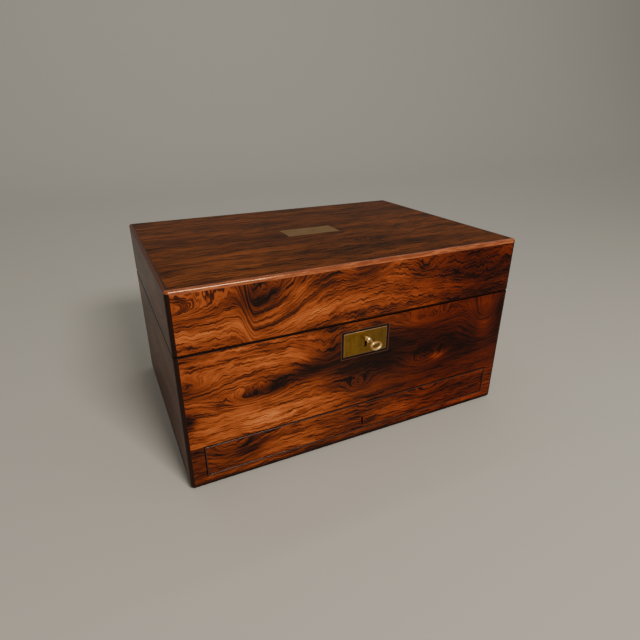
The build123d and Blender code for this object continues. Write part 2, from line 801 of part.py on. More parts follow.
for number, jar_x in enumerate(sorted(jar_xs), 1):
    with BuildPart() as cap:
        jar_lid(jar_x, jar_y)
    finish(cap, f"jar_lid_{number}")


def rounded_slab(x, y, width, length, z0, height, radius, mode=Mode.ADD):
    with BuildSketch(Plane.XY.offset(z0)) as outline:
        with Locations((x, y)):
            RectangleRounded(width, length, radius)
    extrude(outline.sketch, amount=height, mode=mode)


with BuildPart() as glass_boxes:
    for side in (-1, 1):
        rounded_slab(side * box_x, box_y, jar_side, box_length, jar_z0,
                     jar_height - jar_neck_height, jar_corner)
        rounded_slab(side * box_x, box_y, jar_side - jar_wall, box_length - jar_wall, neck_z,
                     jar_neck_height, jar_corner)
        rounded_slab(side * box_x, box_y, jar_side - 2 * jar_wall, box_length - 2 * jar_wall,
                     jar_z0 + jar_wall, jar_height, jar_corner - 1, Mode.SUBTRACT)
finish(glass_boxes, "glass_boxes")

for side, name in ((-1, "left"), (1, "right")):
    with BuildPart() as cap:
        rounded_slab(side * box_x, box_y, jar_side, box_length, neck_z + fit,
                     jar_lid_height, jar_corner)
        fillet(faces().sort_by(Axis.Z)[-1].edges(), box_lid_round)
        rounded_slab(side * box_x, box_y, jar_side - jar_wall + 2 * fit,
                     box_length - jar_wall + 2 * fit, neck_z, jar_neck_height + fit,
                     jar_corner, Mode.SUBTRACT)
    finish(cap, f"glass_box_lid_{name}")

# --- Lift-out tray
tray_split_y = tray_y0 + tray_wall + (tray_y1 - tray_y0 - 2 * tray_wall) * tray_front_bay
tray_floor = tray_z0 + tray_base
tray_inner_x = tray_x - tray_wall
tray_inner_y0 = tray_y0 + tray_wall
tray_inner_y1 = tray_y1 - tray_wall
tray_strip_top = tray_z1 - tray_strip_drop

with BuildPart() as tray_frame:
    block(-tray_x, tray_x, tray_y0, tray_y1, tray_z0, tray_z1)
    fillet(edges().filter_by(Axis.Z), tray_corner)
    block(-tray_inner_x, tray_inner_x, tray_inner_y0, tray_inner_y1, tray_floor, tray_z1, Mode.SUBTRACT)
    block(-tray_inner_x - tray_groove, tray_inner_x + tray_groove,
          tray_inner_y0 - tray_groove, tray_inner_y1 + tray_groove,
          tray_z0, tray_floor, Mode.SUBTRACT)
finish(tray_frame, "tray_frame")

with BuildPart() as tray_bottom:
    block(-tray_inner_x - tray_groove, tray_inner_x + tray_groove,
          tray_inner_y0 - tray_groove, tray_inner_y1 + tray_groove,
          tray_z0, tray_floor)
finish(tray_bottom, "tray_bottom")

tray_cross_x = tray_inner_x / 3
with BuildPart() as tray_partitions:
    block(-tray_inner_x, tray_inner_x, tray_split_y, tray_split_y + tray_partition,
          tray_floor, tray_strip_top)
    for side in (-1, 1):
        block(side * tray_cross_x - tray_partition / 2, side * tray_cross_x + tray_partition / 2,
              tray_split_y + tray_partition + glue_gap, tray_inner_y1, tray_floor, tray_strip_top)
finish(tray_partitions, "tray_partitions")


def pad(x0, x1, y0, y1, z0, thickness):
    # A padded velvet floor, drawn down at its edges.
    block(x0 + fit, x1 - fit, y0 + fit, y1 - fit, z0, z0 + thickness)


tray_cols = [-tray_inner_x, -tray_cross_x - tray_partition / 2, -tray_cross_x + tray_partition / 2,
             tray_cross_x - tray_partition / 2, tray_cross_x + tray_partition / 2, tray_inner_x]
with BuildPart() as tray_pads:
    pad(-tray_inner_x, tray_inner_x, tray_inner_y0, tray_split_y, tray_floor, tray_pad)
    for left, right in (tray_cols[0:2], tray_cols[2:4], tray_cols[4:6]):
        pad(left, right, tray_split_y + tray_partition, tray_inner_y1, tray_floor, tray_pad)
    fillet(faces().filter_by(Axis.Z).group_by(Axis.Z)[-1].edges(), tray_pad * tray_pad_round)
finish(tray_pads, "tray_pads")

with BuildPart() as tray_knobs:
    for side in (-1, 1):
        knob_x = side * tray_inner_x * knob_share
        knob_y = tray_split_y + tray_partition / 2
        ball_z = tray_strip_top + knob_height - knob_radius
        ball_foot = ball_z - math.sqrt(knob_radius**2 - knob_neck**2)
        with BuildSketch(Plane.XZ.offset(-knob_y)):
            with BuildLine():
                Polyline(
                    (knob_x, tray_strip_top),
                    (knob_x + 2 * knob_neck, tray_strip_top),
                    (knob_x + 2 * knob_neck, tray_strip_top + knob_foot_height),
                    (knob_x + knob_neck, tray_strip_top + knob_foot_height + knob_cove),
                    (knob_x + knob_neck, ball_foot),
                )
                ThreePointArc(
                    (knob_x + knob_neck, ball_foot),
                    (knob_x + knob_radius, ball_z),
                    (knob_x, ball_z + knob_radius),
                )
                Line((knob_x, ball_z + knob_radius), (knob_x, tray_strip_top))
            make_face()
        revolve(axis=Axis((knob_x, knob_y, 0), (0, 0, 1)))
finish(tray_knobs, "tray_knobs")


# --- Drawer: sides lap-dovetailed to the front and through-dovetailed to the back
def tails(z0, z1, y_root, y_tip, width):
    step = (z1 - z0) / tail_count
    flare = abs(y_tip - y_root) * tail_slope
    for index in range(tail_count):
        mid = z0 + step * (index + 0.5)
        with BuildLine() as tail:
            Polyline(
                (y_root, mid - width / 2),
                (y_tip, mid - width / 2 - flare),
                (y_tip, mid + width / 2 + flare),
                (y_root, mid + width / 2),
                close=True,
            )
        make_face(tail.edges())


def front_tails():
    tails(drawer_z0, drawer_side_top, drawer_inner_y, drawer_front_y + drawer_lap, tail_width)


def back_tails():
    tails(panel_z1, drawer_side_top, drawer_back_y, drawer_end_y,
          tail_width * back_tail_share)


def drawer_panel_block(mode):
    block(-drawer_x + drawer_side - groove_depth, drawer_x - drawer_side + groove_depth,
          drawer_inner_y - groove_depth, drawer_end_y, panel_z0, panel_z1, mode)


def drawer_side_board(x0):
    with BuildSketch(Plane.YZ.offset(x0)) as outline:
        with BuildLine():
            Polyline(
                (drawer_inner_y, drawer_z0),
                (drawer_end_y, drawer_z0),
                (drawer_end_y, panel_z1),
                (drawer_back_y, panel_z1),
                (drawer_back_y, drawer_side_top),
                (drawer_inner_y, drawer_side_top),
                close=True,
            )
        make_face()
        front_tails()
        back_tails()
    extrude(outline.sketch, amount=drawer_side)
    drawer_panel_block(Mode.SUBTRACT)


with BuildPart() as drawer_left_side:
    drawer_side_board(-drawer_x)
finish(drawer_left_side, "drawer_left_side")

with BuildPart() as drawer_right_side:
    drawer_side_board(drawer_x - drawer_side)
finish(drawer_right_side, "drawer_right_side")


def bead_ring(mode):
    with BuildSketch(Plane.XZ.offset(-drawer_front_y + bead_proud)) as outline:
        with Locations((0, (drawer_z0 + drawer_z1) / 2)):
            Rectangle(2 * drawer_x, drawer_z1 - drawer_z0)
            Rectangle(2 * drawer_x - 2 * bead_width, drawer_z1 - drawer_z0 - 2 * bead_width,
                      mode=Mode.SUBTRACT)
    extrude(outline.sketch, amount=-(drawer_lap + bead_proud), mode=mode)


drawer_lock_z0 = drawer_z1 - drawer_lock_height
drawer_lock_y0 = drawer_inner_y - drawer_lock_thickness
drawer_bolt_y0 = drawer_lock_y0 + drawer_bolt_inset
drawer_bolt_y1 = drawer_inner_y - drawer_bolt_inset
with BuildPart() as drawer_front:
    block(-drawer_x, drawer_x, drawer_front_y, drawer_inner_y, drawer_z0, drawer_z1)
    bead_ring(Mode.SUBTRACT)
    for x0 in (-drawer_x, drawer_x - drawer_side):
        with BuildSketch(Plane.YZ.offset(x0)):
            front_tails()
        extrude(amount=drawer_side, mode=Mode.SUBTRACT)
    drawer_panel_block(Mode.SUBTRACT)
    block(-drawer_lock_width / 2, drawer_lock_width / 2, drawer_lock_y0, drawer_inner_y,
          drawer_lock_z0, drawer_z1, Mode.SUBTRACT)
    block(-drawer_selvedge_width / 2, drawer_selvedge_width / 2, drawer_lock_y0, drawer_inner_y,
          drawer_z1 - drawer_selvedge_thickness, drawer_z1, Mode.SUBTRACT)
    block(-drawer_key_width / 2, drawer_key_width / 2, drawer_front_y, drawer_lock_y0,
          drawer_key_bottom, drawer_key_top, Mode.SUBTRACT)
finish(drawer_front, "drawer_front")

with BuildPart() as drawer_bead:
    bead_ring(Mode.ADD)
    fillet(faces().sort_by(Axis.Y)[0].edges(), bead_width * bead_round_share)
finish(drawer_bead, "drawer_bead")

with BuildPart() as drawer_back:
    block(-drawer_x, drawer_x, drawer_back_y, drawer_end_y, panel_z1, drawer_side_top)
    for x0 in (-drawer_x, drawer_x - drawer_side):
        with BuildSketch(Plane.YZ.offset(x0)):
            back_tails()
        extrude(amount=drawer_side, mode=Mode.SUBTRACT)
finish(drawer_back, "drawer_back")

with BuildPart() as drawer_bottom:
    drawer_panel_block(Mode.ADD)
finish(drawer_bottom, "drawer_bottom")

# --- Drawer lining, bays and ring rolls
bay_x = drawer_x - drawer_side
bay_y0 = drawer_inner_y
bay_y1 = drawer_back_y
bay_floor = panel_z1 + velvet
bay_top = drawer_side_top - bay_wall_drop
with BuildPart() as drawer_lining:
    block(-bay_x, bay_x, bay_y0, bay_y1, panel_z1, drawer_side_top - drawer_lining_drop)
    block(-bay_x + velvet, bay_x - velvet, bay_y0 + velvet, bay_y1 - velvet,
          bay_floor, drawer_side_top, Mode.SUBTRACT)
finish(drawer_lining, "drawer_lining")

bay_in_y0 = bay_y0 + velvet
bay_in_y1 = bay_y1 - velvet
with BuildPart() as drawer_partitions:
    for side in (-1, 1):
        x0, x1 = sorted((side * ring_bay / 2, side * (ring_bay / 2 + bay_wall)))
        block(x0, x1, bay_in_y0, bay_in_y1, bay_floor, bay_top)
finish(drawer_partitions, "drawer_partitions")

ring_count = int((bay_in_y1 - bay_in_y0) / ring_pitch)
ring_width = (bay_in_y1 - bay_in_y0) / ring_count - ring_slit
ring_radius = ring_width / 2
with BuildPart() as ring_rolls:
    with BuildSketch(Plane.YZ.offset(-ring_bay / 2 + fit)):
        with Locations(((bay_in_y0 + bay_in_y1) / 2, bay_floor + ring_base / 2)):
            Rectangle(bay_in_y1 - bay_in_y0 - 2 * fit, ring_base)
        for index in range(ring_count):
            ring_y = bay_in_y0 + (index + 0.5) * (ring_width + ring_slit)
            with Locations((ring_y, bay_floor + ring_base / 2 + (ring_height - ring_radius) / 2)):
                Rectangle(ring_width - 2 * fit, ring_height - ring_radius - ring_base)
            with Locations((ring_y, bay_floor + ring_height - ring_radius)):
                Circle(ring_radius - fit)
    extrude(amount=ring_bay - 2 * fit)
finish(ring_rolls, "ring_rolls")

# --- Drawer lock, thrown upwards
with BuildPart() as drawer_lock:
    block(-drawer_lock_width / 2, drawer_lock_width / 2, drawer_lock_y0, drawer_inner_y,
          drawer_lock_z0, drawer_z1)
    block(-drawer_selvedge_width / 2, drawer_selvedge_width / 2, drawer_lock_y0, drawer_inner_y,
          drawer_z1 - drawer_selvedge_thickness, drawer_z1)
    block(-drawer_lock_width / 2 + drawer_lock_wall, drawer_lock_width / 2 - drawer_lock_wall,
          drawer_lock_y0 + drawer_lock_wall, drawer_inner_y - drawer_lock_wall,
          drawer_lock_z0 + drawer_lock_wall, drawer_z1 - drawer_selvedge_thickness, Mode.SUBTRACT)
    block(-drawer_bolt_width / 2 - fit, drawer_bolt_width / 2 + fit, drawer_bolt_y0 - fit,
          drawer_bolt_y1 + fit, drawer_z1 - drawer_selvedge_thickness, drawer_z1, Mode.SUBTRACT)
    block(-drawer_key_width / 2, drawer_key_width / 2, drawer_lock_y0, drawer_lock_y0 + drawer_lock_wall,
          drawer_lock_z0 + drawer_lock_wall, drawer_key_top, Mode.SUBTRACT)
finish(drawer_lock, "drawer_lock")

with BuildPart() as drawer_lock_bolt:
    shoulder = drawer_z1 - drawer_selvedge_thickness - drawer_bolt_throw - fit
    block(-drawer_bolt_width / 2, drawer_bolt_width / 2, drawer_bolt_y0, drawer_bolt_y1,
          shoulder - drawer_bolt_body, drawer_z1 - fit)
    block(-drawer_bolt_width, drawer_bolt_width, drawer_bolt_y0, drawer_bolt_y1,
          shoulder - drawer_bolt_foot, shoulder)
finish(drawer_lock_bolt, "drawer_lock_bolt")
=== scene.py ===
import math
import bmesh
import bpy
from mathutils import Matrix, Vector, noise


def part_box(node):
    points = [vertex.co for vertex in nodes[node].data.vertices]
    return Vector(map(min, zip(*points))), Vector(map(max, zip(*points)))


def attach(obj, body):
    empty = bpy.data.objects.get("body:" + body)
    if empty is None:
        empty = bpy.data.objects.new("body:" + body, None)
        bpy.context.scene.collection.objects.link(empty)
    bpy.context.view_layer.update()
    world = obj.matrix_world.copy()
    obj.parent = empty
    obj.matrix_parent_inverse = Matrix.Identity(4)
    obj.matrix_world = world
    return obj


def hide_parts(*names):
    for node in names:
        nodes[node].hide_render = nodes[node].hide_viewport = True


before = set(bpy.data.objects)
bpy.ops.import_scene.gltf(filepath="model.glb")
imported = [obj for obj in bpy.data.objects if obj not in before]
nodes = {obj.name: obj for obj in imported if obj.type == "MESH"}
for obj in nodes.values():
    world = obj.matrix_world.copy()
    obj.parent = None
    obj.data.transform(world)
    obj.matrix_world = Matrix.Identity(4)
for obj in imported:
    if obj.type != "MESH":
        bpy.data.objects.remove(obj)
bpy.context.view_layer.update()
mm = 0.001
# the closed box and the height of the line between case and lid, in mm
boxSizes = {"halfWidth": 152.5, "halfDepth": 108.0, "height": 166.0, "joint": 117.85}


class Value:
    # wraps a number socket, so that shader maths reads as plain arithmetic
    def __init__(self, paint, socket):
        self.paint = paint
        self.socket = socket

    def maths(self, operation, other=0.0, clamp=False):
        node = self.paint.add("Math", {"operation": operation, "use_clamp": clamp},
                              {0: self, 1: other})
        return Value(self.paint, node.outputs[0])

    def __add__(self, other):
        return self.maths("ADD", other)

    def __sub__(self, other):
        return self.maths("SUBTRACT", other)

    def __mul__(self, other):
        return self.maths("MULTIPLY", other)

    def __neg__(self):
        return self.maths("MULTIPLY", -1.0)

    def __rsub__(self, other):
        return (-self) + other

    __radd__ = __add__
    __rmul__ = __mul__

    def abs(self):
        return self.maths("ABSOLUTE")

    def clamp(self):
        return self.maths("ADD", 0.0, clamp=True)

    def above(self, low, high):
        # goes smoothly from 0 at low to 1 at high
        node = self.paint.add("MapRange", {"interpolation_type": "SMOOTHSTEP"},
                              {0: self, 1: low, 2: high, 3: 0.0, 4: 1.0})
        return Value(self.paint, node.outputs[0])


class Paint:
    # one material, with a method that adds any node
    def __init__(self, name):
        self.material = bpy.data.materials.new(name)
        self.material.use_nodes = True
        self.tree = self.material.node_tree
        self.tree.nodes.clear()
        self.place = None

    def feed(self, socket, value):
        # links a value or a socket, and sets anything else on the socket itself
        if isinstance(value, Value):
            value = value.socket
        if isinstance(value, bpy.types.NodeSocket):
            self.tree.links.new(value, socket)
        else:
            socket.default_value = value

    def add(self, kind, settings=None, inputs=None):
        node = self.tree.nodes.new("ShaderNode" + kind)
        for key, value in (settings or {}).items():
            setattr(node, key, value)
        for key, value in (inputs or {}).items():
            self.feed(node.inputs[key], value)
        return node

    def position(self):
        # object coordinates in millimetres, as three values
        if self.place is None:
            coords = self.add("TexCoord").outputs["Object"]
            split = self.add("SeparateXYZ", None, {0: coords})
            self.place = [Value(self, out) * 1000.0 for out in split.outputs]
        return self.place

    def noise(self, x, y, z, detail, roughness=0.5):
        vector = self.add("CombineXYZ", None, {0: x, 1: y, 2: z}).outputs[0]
        node = self.add("TexNoise", {"noise_dimensions": "3D"},
                        {"Vector": vector, "Scale": 1.0, "Detail": detail,
                         "Roughness": roughness, "Distortion": 0.0})
        return Value(self, node.outputs[0])

    def cloud(self, scale, detail, roughness=0.5):
        # noise of one scale, or of a scale for each axis
        scales = scale if isinstance(scale, tuple) else (scale, scale, scale)
        x, y, z = (axis * part for axis, part in zip(self.position(), scales))
        return self.noise(x, y, z, detail, roughness)

    def ramp(self, value, stops):
        node = self.add("ValToRGB", None, {0: value})
        elements = node.color_ramp.elements
        while len(elements) < len(stops):
            elements.new(0.5)
        for element, (place, colour) in zip(elements, stops):
            element.position = place
            element.color = shade(colour)
        return node.outputs[0]

    def mix(self, factor, a, b, blend="MIX"):
        node = self.add("Mix", {"data_type": "RGBA", "blend_type": blend},
                        {0: factor, 6: a, 7: b})
        return node.outputs[2]

    def bump(self, height, strength, distance):
        node = self.add("Bump", None,
                        {"Strength": strength, "Distance": distance, "Height": height})
        return node.outputs[0]

    def surface(self, **sockets):
        # the principled shader, its sockets named as in the editor but without spaces
        shader = self.add("BsdfPrincipled")
        names = {socket.name.replace(" ", ""): socket for socket in shader.inputs}
        for key, value in sockets.items():
            self.feed(names[key], value)
        self.add("OutputMaterial", None, {0: shader.outputs[0]})
        return self.material


def shade(colour, factor=1.0):
    # a colour with its alpha, times a factor
    return (*[min(1.0, part * factor) for part in colour], 1)


# rosewood: boards of figured veneer, each with its own swirls, seams and patches
woodTones = {
    "redRamp": [(0.0, (0.0045, 0.0012, 0.0006)), (0.2, (0.022, 0.0040, 0.0013)),
                (0.42, (0.105, 0.0170, 0.0030)), (0.62, (0.26, 0.050, 0.0085)),
                (0.82, (0.45, 0.115, 0.024)), (1.0, (0.66, 0.22, 0.065))],
    "brownRamp": [(0.0, (0.010, 0.0036, 0.0016)), (0.2, (0.036, 0.0110, 0.0032)),
                  (0.42, (0.098, 0.0255, 0.0060)), (0.62, (0.19, 0.050, 0.0100)),
                  (0.82, (0.30, 0.085, 0.018)), (1.0, (0.40, 0.130, 0.030))],
    "redTint": (0.90, 0.57, 0.52, 1), "redShare": 0.85, "redDulls": 0.6,
    "line": (0.0012, 0.0006, 0.0005, 1), "lineEdge": (0.9, 1.3),  # mm from the joint
    "ground": (0.10, 0.035, 0.014, 1), "groundLight": (0.16, 0.06, 0.022, 1),
    "veneer": 1.0,  # mm
    "foot": (2.5, 7.0), "footDark": 0.5,  # mm above the floor, change of tone
    "roughness": 0.40, "coatRoughness": 0.09, "coatIor": 1.5,
}

# noise layers: scale along the first and the second coordinate, shift of the seed, detail,
# roughness
layers = {
    "flow": (0.007, 0.016, 0, 1.5, 0.5), "ripple": (0.045, 0.022, 5, 1.0, 0.5),
    "jag": (0.22, 0.06, 9, 2.0, 0.6), "band": (0.085, 0.010, 11, 1.0, 0.5),
    "lines": (0.44, 0.030, 17, 2.0, 0.6), "dashes": (0.86, 0.052, 23, 1.0, 0.5),
    "fine": (1.15, 0.085, 29, 1.5, 0.55), "waves": (0.02, 0.02, 31, 2.0, 0.5),
    "ground": (0.02, 1.2, 0, 3.0, 0.5),
}

# how far the ripple moves the grain in mm, and what each layer does to the tone
figure = {"ripple": 6.0, "band": 0.58, "lines": 0.44, "fine": 0.62, "crisp": (0.51, 0.57),
          "crispWhere": (0.62, 0.40), "crispAll": 0.35, "crispSome": 0.65,
          "pores": (0.60, 0.66), "poreDark": 0.16, "makeUp": 0.32}

# axes: along and across the grain; flow and jag: how far waves and jags move it in mm
# tone: middle of the ramp; lines: darkness of the crisp lines; red: from and to, along, in mm
# calm: from and to, along, the tone that it draws to and by how much
# swirls: along, across, width to the left, width to the right, height, lift of the grain in mm
# seams: level of the grain, thickness, change of tone, middle along, spread along
# patches: along, across, width, height, change of tone
plainBoard = {"axes": (0, 2), "ramp": "redRamp", "jag": 4.0, "lines": 0.3, "gloss": 0.05,
              "swirls": [], "seams": [], "patches": []}
frontBoard = {**plainBoard, "coat": 0.24, "red": (-10, 90)}
boards = {
    "lidFront": {
        **frontBoard, "seed": 3.1, "tone": 0.525, "flow": 8.0, "jag": 6.5, "lines": 0.35,
        "red": (0, 120),
        "swirls": [(-93, 150, 7, 43, 38, 46), (-160, 151, 30, 44, 11, 26),
                   (-8, 166, 14, 20, 12, 20), (52, 152, 14, 24, 8, 7),
                   (118, 138, 40, 40, 12, 9)],
        "seams": [(160, 3.4, -0.42, -78, 40), (171, 2.6, -0.30, -86, 22),
                  (183, 3.0, -0.34, -88, 20), (194, 3.0, -0.34, -84, 24),
                  (206, 4.0, -0.3, -84, 30)],
        "patches": [(-52, 133, 44, 9, 0.12), (-128, 128, 34, 10, 0.08),
                    (-88, 152, 16, 10, -0.28), (-42, 158, 16, 8, -0.22),
                    (2, 158, 16, 8, -0.20), (-62, 152, 9, 6, 0.10), (52, 151, 13, 5, -0.14),
                    (10, 140, 50, 30, -0.06), (120, 140, 60, 40, -0.38),
                    (88, 136, 30, 8, 0.06)],
    },
    "caseFront": {
        **frontBoard, "seed": 8.4, "tone": 0.445, "flow": 12.0, "lines": 0.35,
        "calm": (-55, 50, 0.30, 0.5),
        "swirls": [(-158, 91, 24, 34, 8, 16), (-6, 58, 12, 12, 7, 12),
                   (58, 106, 30, 34, 8, 14), (62, 66, 26, 26, 9, 14),
                   (128, 96, 18, 20, 24, 26), (-34, 92, 26, 22, 16, 14),
                   (-100, 72, 30, 34, 8, 12)],
        "patches": [(-96, 98, 66, 16, 0.20), (-92, 48, 62, 13, 0.34), (-22, 84, 22, 18, -0.34),
                    (-100, 74, 10, 3, -0.30), (-84, 76, 14, 5, -0.30), (-66, 80, 16, 7, -0.26),
                    (-48, 86, 16, 9, -0.26), (-150, 92, 16, 8, -0.24), (16, 84, 22, 18, -0.26),
                    (66, 84, 60, 22, -0.28), (112, 70, 44, 26, -0.30), (149, 84, 10, 34, -0.24),
                    (128, 88, 8, 12, 0.26), (124, 110, 16, 4, 0.14), (46, 105, 26, 5, 0.16),
                    (58, 66, 16, 6, 0.24), (76, 67, 8, 4, 0.80), (102, 62, 14, 8, -0.10),
                    (147, 104, 5, 16, -0.3), (-148, 63, 5, 6, -0.5), (20, 60, 20, 5, 0.12),
                    (68, 50, 50, 8, -0.06), (8, 70, 34, 22, -0.17)],
    },
    "drawerFront": {
        **frontBoard, "seed": 8.9, "tone": 0.455, "flow": 12.0, "lines": 0.34,
        "swirls": [(-122, 30, 16, 34, 12, 12), (-84, 8, 14, 20, 10, -10),
                   (68, 34, 18, 18, 6, 10)],
        "seams": [(24, 1.6, -0.26, -104, 16), (31, 1.8, -0.26, -96, 16),
                  (39, 2.2, -0.24, -100, 20)],
        "patches": [(-104, 27, 10, 8, -0.12), (-66, 18, 22, 12, 0.16), (6, 26, 46, 16, -0.14),
                    (34, 22, 22, 8, 0.12), (106, 24, 44, 18, -0.16)],
    },
    "rail": {**frontBoard, "seed": 15.0, "tone": 0.39, "flow": 8.0, "jag": 3.0},
    "stile": {**frontBoard, "seed": 18.0, "tone": 0.31, "flow": 6.0, "jag": 3.0},
    "lidTop": {
        **plainBoard, "axes": (0, 1), "seed": 21.7, "tone": 0.375, "ramp": "brownRamp",
        "flow": 22.0, "coat": 0.03, "gloss": 0.02,
        "swirls": [(24, -51, 10, 14, 5, 9), (-125, -40, 40, 40, 12, 8)],
        # the first patch, lighter at the left front of the top, is a painted sheen
        "patches": [(-104, -60, 60, 50, 0.13), (40, -74, 60, 8, -0.10), (-80, -2, 70, 6, -0.08),
                    (-20, -92, 120, 8, 0.06), (38, -60, 20, 5, -0.14)],
    },
    "sides": {
        **plainBoard, "axes": (1, 2), "seed": 31.2, "tone": 0.40, "ramp": "brownRamp",
        "flow": 20.0, "lines": 0.20, "coat": 0.17,
        "swirls": [(30, 60, 40, 40, 20, 20), (-60, 130, 30, 30, 14, 10)],
    },
    "back": {
        **plainBoard, "seed": 44.0, "tone": 0.42, "flow": 20.0, "coat": 0.35,
        "swirls": [(40, 70, 50, 50, 20, 20)],
    },
}


def bell(u, v, centreU, centreV, left, right, height):
    # a smooth hump, whose width may differ to its left and right
    across = u - centreU
    if left == right:
        du = across * (1.0 / left)
    else:
        du = across.maths("MAXIMUM") * (1.0 / right) + across.maths("MINIMUM") * (1.0 / left)
    dv = (v - centreV) * (1.0 / height)
    return (-(du * du + dv * dv)).maths("EXPONENT")


def rosewood(name, board):
    paint = Paint(name)
    place = paint.position()
    u, v = (place[axis] for axis in board["axes"])

    def layer(key, first, second):
        firstScale, secondScale, shift, detail, roughness = layers[key]
        return paint.noise(first * firstScale, second * secondScale, board["seed"] + shift,
                           detail, roughness)

    # the height in the grain: the board's own height, moved by waves, jags and swirls
    height = (v + (layer("flow", u, v) - 0.5) * board["flow"]
              + (layer("ripple", u, v) - 0.5) * figure["ripple"]
              + (layer("jag", u, v) - 0.5) * board["jag"])
    for along, across, left, right, tall, lift in board["swirls"]:
        height = height + bell(u, v, along, across, left, right, tall) * lift
    band, lines, dashes, fine = (layer(key, height, u)
                                 for key in ("band", "lines", "dashes", "fine"))
    tone = ((band - 0.5) * figure["band"] + (lines - 0.5) * figure["lines"]
            + (fine - 0.5) * figure["fine"] + board["tone"])
    for along, across, wide, tall, change in board["patches"]:
        tone = tone + bell(u, v, along, across, wide, wide, tall) * change
    for level, thick, change, along, spread in board["seams"]:
        tone = tone + bell(u, height, along, level, spread, spread, thick) * change
    # crisp dark lines that follow the grain, and short pores between them
    crisp = dashes.above(*figure["crisp"]) * (
        figure["crispAll"] + lines.above(*figure["crispWhere"]) * figure["crispSome"])
    pores = fine.above(*figure["pores"])
    tone = (tone - crisp * board["lines"] - pores * figure["poreDark"]
            + board["lines"] * figure["makeUp"])
    if "calm" in board:
        low, high, level, amount = board["calm"]
        tone = tone + (level - tone) * (u.above(low, high) * amount)
    # painted shade: the wood is darkened towards the floor, where the case stands on it
    tone = tone - (1.0 - place[2].above(*woodTones["foot"])) * woodTones["footDark"]
    colour = paint.ramp(tone.clamp(), woodTones[board["ramp"]])
    gloss = 1.0
    if "red" in board:
        # redder and duller to the right
        right = u.above(*board["red"])
        colour = paint.mix(right * woodTones["redShare"], colour, woodTones["redTint"],
                           "MULTIPLY")
        gloss = 1.0 - right * woodTones["redDulls"]
    # the dark line where the lid meets the case
    joint = 1.0 - (place[2] - boxSizes["joint"]).abs().above(*woodTones["lineEdge"])
    colour = paint.mix(joint, colour, woodTones["line"])
    # the ground of the boards shows inside, behind the veneer
    depth = (boxSizes["halfWidth"] - place[0].abs()).maths(
        "MINIMUM", boxSizes["halfDepth"] - place[1].abs())
    depth = depth.maths("MINIMUM", boxSizes["height"] - place[2])
    inside = depth.above(woodTones["veneer"], woodTones["veneer"] + 0.1)
    ground = paint.mix(layer("ground", u, v), woodTones["ground"], woodTones["groundLight"])
    colour = paint.mix(inside, colour, ground)
    relief = lines * 0.4 + layer("waves", u, v) * 6.0
    return paint.surface(BaseColor=colour, Roughness=woodTones["roughness"],
                         SpecularIORLevel=board["gloss"],
                         CoatWeight=(1.0 - inside * 0.8) * (1.0 - joint) * board["coat"] * gloss,
                         CoatRoughness=woodTones["coatRoughness"], CoatIOR=woodTones["coatIor"],
                         Normal=paint.bump(relief, 0.12, 0.0004))


mahogany = {"light": (0.20, 0.075, 0.028), "dark": (0.085, 0.028, 0.011), "wave": 10.0,
            "roughness": 0.45, "coat": 0.25, "coatRoughness": 0.15}


def plainWood(name, axes):
    paint = Paint(name)
    place = paint.position()
    u, v = (place[axis] for axis in axes)
    height = v + (paint.noise(u * 0.01, v * 0.05, 4.0, 1.0) - 0.5) * mahogany["wave"]
    lines = paint.noise(height * 0.6, u * 0.01, 9.0, 3.0, 0.6)
    pores = paint.noise(height * 4.0, u * 0.25, 2.0, 1.0)
    colour = paint.mix(lines.above(0.3, 0.7), shade(mahogany["dark"]), shade(mahogany["light"]))
    colour = paint.mix(pores.above(0.6, 0.7) * 0.5, colour, shade(mahogany["dark"], 0.4))
    return paint.surface(BaseColor=colour, Roughness=mahogany["roughness"] + lines * 0.1,
                         CoatWeight=mahogany["coat"], CoatRoughness=mahogany["coatRoughness"],
                         Normal=paint.bump(pores, 0.15, 0.0002))


# brass: streaks are the noise scales along x and z; the lock plate also has a painted highlight
# along its rim and painted shade to the right
brasses = {
    "plateBrass": {"light": (0.27, 0.150, 0.025), "dark": (0.12, 0.066, 0.013),
                   "roughness": 0.44, "wear": 0.8, "streaks": (0.34, 0.06), "metallic": 1.0},
    "topBrass": {"light": (0.36, 0.215, 0.085), "dark": (0.20, 0.11, 0.045),
                 "roughness": 0.5, "wear": 0.5, "streaks": (0.06, 1.6), "metallic": 1.0},
    "lockBrass": {"light": (0.55, 0.42, 0.18), "dark": (0.26, 0.18, 0.07),
                  "roughness": 0.3, "wear": 0.5, "streaks": (1.6, 0.06), "metallic": 1.0},
    "keyBrass": {"light": (1.0, 0.72, 0.30), "dark": (0.72, 0.44, 0.13),
                 "roughness": 0.33, "wear": 0.3, "streaks": (1.6, 0.06), "metallic": 0.78},
}


def brass(name):
    plan = brasses[name]
    paint = Paint(name)
    alongX, alongZ = plan["streaks"]
    streaks = paint.cloud((alongX, 0.1, alongZ), 2.0, 0.7)
    mottle = paint.cloud(0.12, 4.0, 0.65)
    tarnish = (mottle.above(0.42, 0.72) * 0.6 + (streaks - 0.45) * 2.2).clamp() * plan["wear"]
    colour = paint.mix(tarnish, shade(plan["light"]), shade(plan["dark"]))
    if name == "plateBrass":
        colour = plateEdge(paint, colour)
    return paint.surface(BaseColor=colour, Metallic=plan["metallic"],
                         Roughness=plan["roughness"] + tarnish * 0.18 + (streaks - 0.5) * 0.12,
                         Normal=paint.bump(streaks, 0.10, 0.0001))


# lock plate and the wood border round it, in mm
lockPlate = {"middle": 97.3, "halfWidth": 20.6, "halfHeight": 10.6, "rim": 0.9, "border": 2.2,
             "dullFrom": -12.0, "dullTo": 20.0, "borderLine": (0.55, 0.85)}


def plateDistance(paint, grow):
    # how far inside the plate's outline, grown by so much, a point lies
    x, y, z = paint.position()
    aside = (lockPlate["halfWidth"] + grow) - x.abs()
    return aside.maths("MINIMUM",
                       (lockPlate["halfHeight"] + grow) - (z - lockPlate["middle"]).abs())


